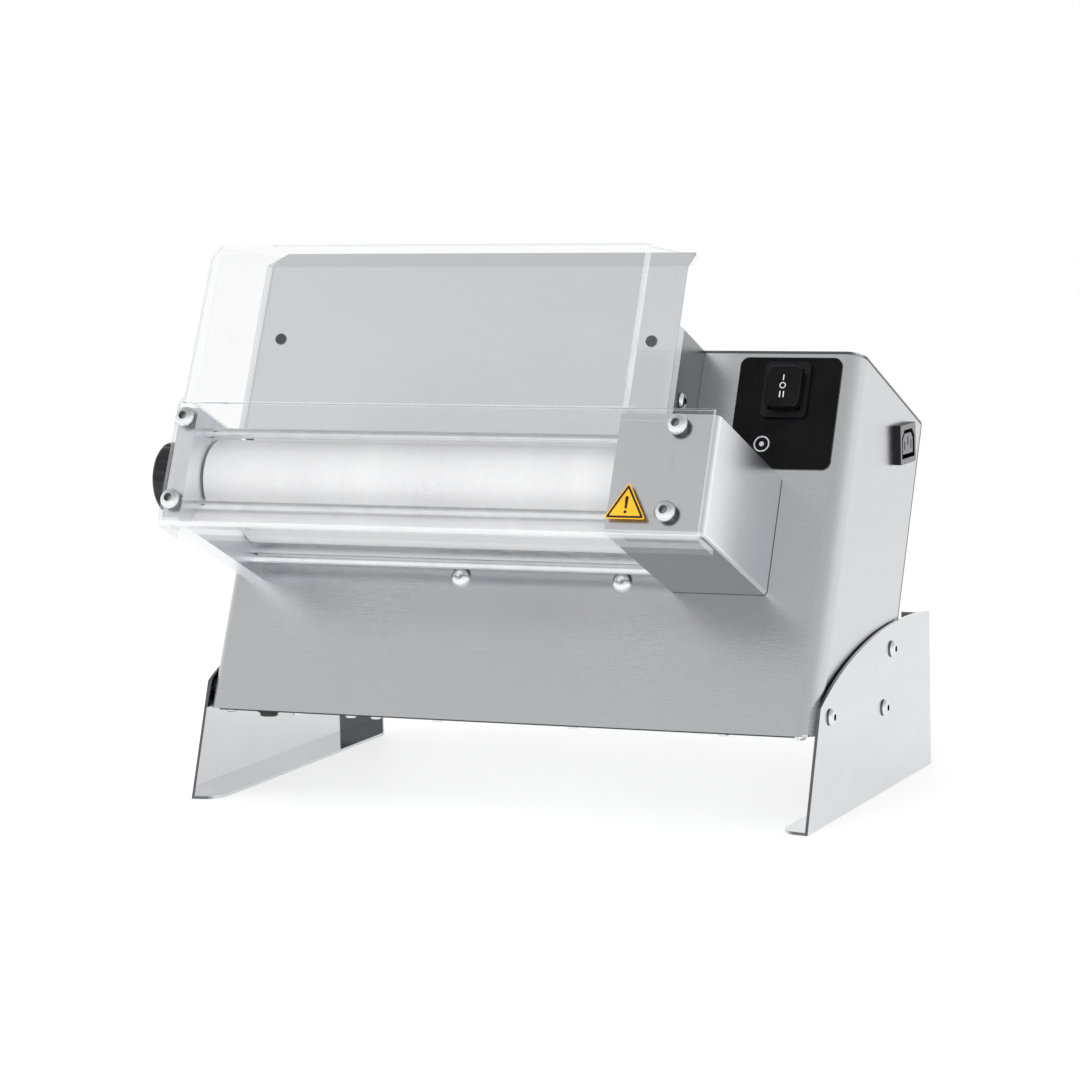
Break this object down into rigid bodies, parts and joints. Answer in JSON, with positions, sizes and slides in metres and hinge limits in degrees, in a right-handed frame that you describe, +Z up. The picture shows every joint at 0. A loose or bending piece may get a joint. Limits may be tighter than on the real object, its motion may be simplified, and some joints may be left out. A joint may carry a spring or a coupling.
{
  "type": "dough sheeter",
  "caption": "Bench-top dough sheeter: a leaning stainless body on two side legs, a pair of white rollers with a thickness knob, gear cover, clear guard, hopper plate and rocker control.",
  "frame": {"origin": "centre of the bounding box in plan, at bench level under the legs", "axes": "+X along the rollers towards the gear cover and outlet, +Y towards the back, +Z up; the operator stands on the -Y side"},
  "size_m": [0.4628, 0.3203, 0.3785],
  "materials": {
    "brushed_stainless": "brushed stainless sheet",
    "polished_stainless": "polished stainless",
    "chrome_fastener": "bright plated fastener",
    "aluminium_plate": "satin machined",
    "machined_steel": "machined",
    "roller_white": "smooth food-grade plastic",
    "scraper_steel": "brushed strip",
    "bronze": "turned bronze",
    "clear_guard": "clear acrylic sheet",
    "black_panel": "satin black",
    "knob_black": "gloss black moulding",
    "motor_paint": "dark paint",
    "sign_yellow": "printed label"
  },
  "bodies": {
    "chassis": {"bottom_plate": "brushed_stainless", "bottom_screws": "chrome_fastener", "bracket_pan_screws": "chrome_fastener", "bracket_screws": "chrome_fastener", "cable_gland": "black_panel", "capacitor_clip": "machined_steel", "control_panel": "black_panel", "cover_screws": "chrome_fastener", "frame_bolts": "chrome_fastener", "frame_bushes": "bronze", "front_scraper": "roller_white", "front_seal": "black_panel", "front_shell": "brushed_stainless", "gear_cover": "brushed_stainless", "gearbox": "aluminium_plate", "gearbox_screws": "chrome_fastener", "guard_front": "clear_guard", "guard_left_wing": "clear_guard", "guard_right_wing": "clear_guard", "guard_screws": "chrome_fastener", "guard_upper": "clear_guard", "hopper_brackets": "brushed_stainless", "hopper_plate": "brushed_stainless", "hopper_plugs": "black_panel", "hopper_screws": "chrome_fastener", "left_frame": "aluminium_plate", "left_leg": "polished_stainless", "leg_nuts": "chrome_fastener", "leg_screws": "chrome_fastener", "leg_spacers": "polished_stainless", "lower_tie_rod": "polished_stainless", "motor": "motor_paint", "motor_bracket": "aluminium_plate", "motor_fan_cowl": "black_panel", "outlet_body": "black_panel", "outlet_contacts": "bronze", "rear_bearings": "machined_steel", "rear_cover": "brushed_stainless", "rear_scraper": "scraper_steel", "rear_tie_rod": "polished_stainless", "right_frame": "aluminium_plate", "right_leg": "polished_stainless", "rocker_pin": "machined_steel", "run_capacitor": "motor_paint", "sign_plate": "sign_yellow", "switch_body": "black_panel", "terminal_block": "black_panel", "upper_tie_rod": "polished_stainless"},
    "eccentric": {"eccentric_shaft": "machined_steel", "thickness_knob": "knob_black", "knob_screw": "chrome_fastener"},
    "floating_bushes": {"roller_bushes": "bronze"},
    "front_roller_unit": {"front_roller": "roller_white", "front_gear": "machined_steel"},
    "rear_roller_unit": {"rear_roller": "roller_white", "rear_roller_shaft": "machined_steel", "rear_gear": "machined_steel"},
    "drive_unit": {"drive_gear": "machined_steel", "drive_shaft": "machined_steel"},
    "rocker": {"switch_rocker": "black_panel"}
  },
  "joints": [
    {"name": "knob_turn", "type": "hinge", "parent": "chassis", "child": "eccentric", "pos_m": [0.0046, -0.09833, 0.22074], "axis": [1, 0, 0], "range_deg": [0, 120]},
    {"name": "bush_hold", "type": "hinge", "parent": "eccentric", "child": "floating_bushes", "pos_m": [0.0046, -0.09634, 0.22093], "axis": [1, 0, 0], "range_deg": [-120, 0]},
    {"name": "front_roller_spin", "type": "hinge", "parent": "floating_bushes", "child": "front_roller_unit", "pos_m": [0.0046, -0.09634, 0.22093], "axis": [1, 0, 0], "continuous": true},
    {"name": "rear_roller_spin", "type": "hinge", "parent": "chassis", "child": "rear_roller_unit", "pos_m": [0.0046, -0.04732, 0.19827], "axis": [1, 0, 0], "continuous": true},
    {"name": "drive_spin", "type": "hinge", "parent": "chassis", "child": "drive_unit", "pos_m": [0.0046, -0.00053, 0.16079], "axis": [1, 0, 0], "continuous": true},
    {"name": "rocker_tilt", "type": "hinge", "parent": "chassis", "child": "rocker", "pos_m": [0.1756, 0.01778, 0.27527], "axis": [1, 0, 0], "range_deg": [-9, 9]}
  ],
  "couplings": [
    {"joint": "bush_hold", "follows": "knob_turn", "ratio": -1},
    {"joint": "front_roller_spin", "follows": "rear_roller_spin", "ratio": -1},
    {"joint": "drive_spin", "follows": "rear_roller_spin", "ratio": -0.81818}
  ]
}
